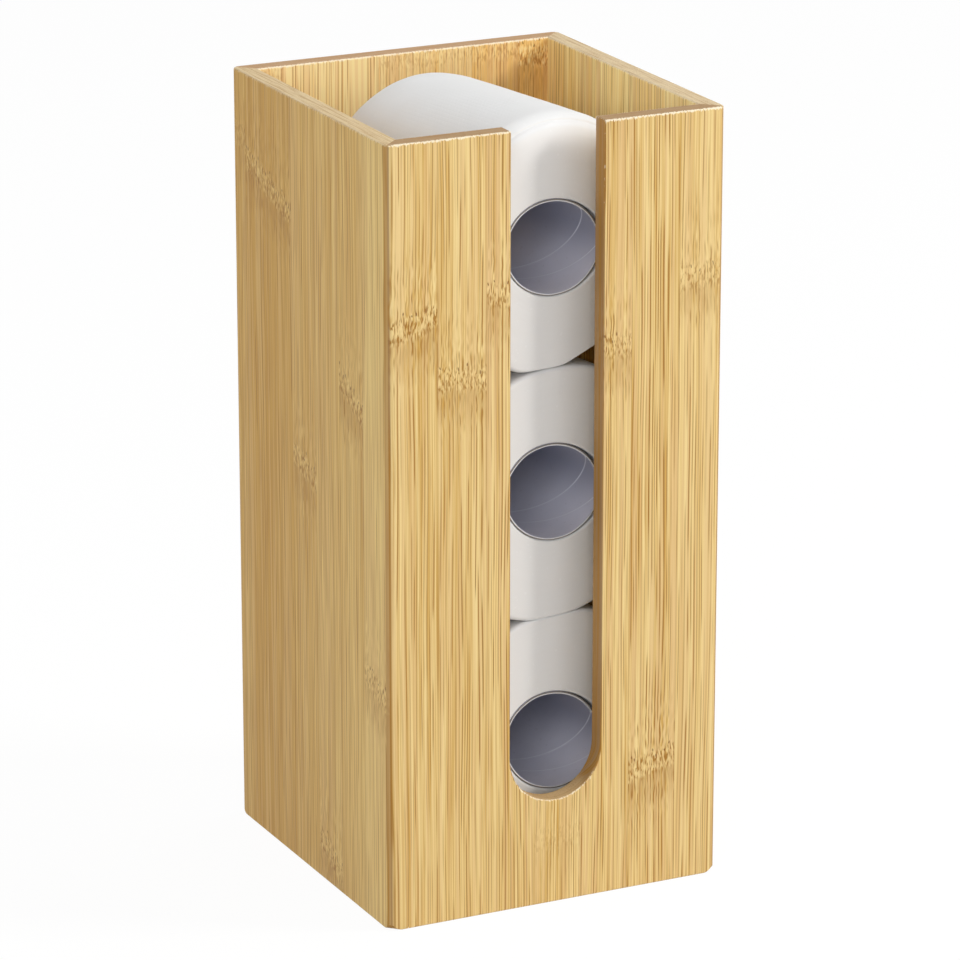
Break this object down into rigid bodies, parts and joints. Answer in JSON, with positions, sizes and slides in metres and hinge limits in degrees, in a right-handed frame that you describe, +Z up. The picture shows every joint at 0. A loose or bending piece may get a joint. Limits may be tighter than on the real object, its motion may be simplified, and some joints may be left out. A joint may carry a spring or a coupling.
{
  "type": "toilet paper stand",
  "caption": "Tall square bamboo box with an open top and a round-footed slot in its front, holding stacked toilet rolls that lift out.",
  "frame": {"origin": "at floor level, under the middle of the square box", "axes": "+Z up along the height; the slotted front faces -Y; +X is to the right for someone who looks at the front"},
  "size_m": [0.16, 0.16, 0.35],
  "materials": {
    "bamboo_board": "satin",
    "bamboo_base": "satin",
    "bamboo_tongue": "matte",
    "tissue": "matte",
    "core_cardboard": "matte"
  },
  "bodies": {
    "stand": {"front_board": "bamboo_board", "left_board": "bamboo_board", "right_board": "bamboo_board", "back_board": "bamboo_board", "base_board": "bamboo_base", "corner_tongues": "bamboo_tongue"},
    "bottom_roll": {"bottom_roll_paper": "tissue", "bottom_roll_core": "core_cardboard"},
    "middle_roll": {"middle_roll_paper": "tissue", "middle_roll_core": "core_cardboard"},
    "top_roll": {"top_roll_paper": "tissue", "top_roll_core": "core_cardboard"}
  },
  "joints": [
    {"name": "bottom_roll_lift", "type": "slide", "parent": "stand", "child": "bottom_roll", "axis": [0, 0, 1], "range_m": [0, 0.345]},
    {"name": "middle_roll_lift", "type": "slide", "parent": "bottom_roll", "child": "middle_roll", "axis": [0, 0, 1], "range_m": [0, 0.235]},
    {"name": "top_roll_lift", "type": "slide", "parent": "middle_roll", "child": "top_roll", "axis": [0, 0, 1], "range_m": [0, 0.125]}
  ]
}
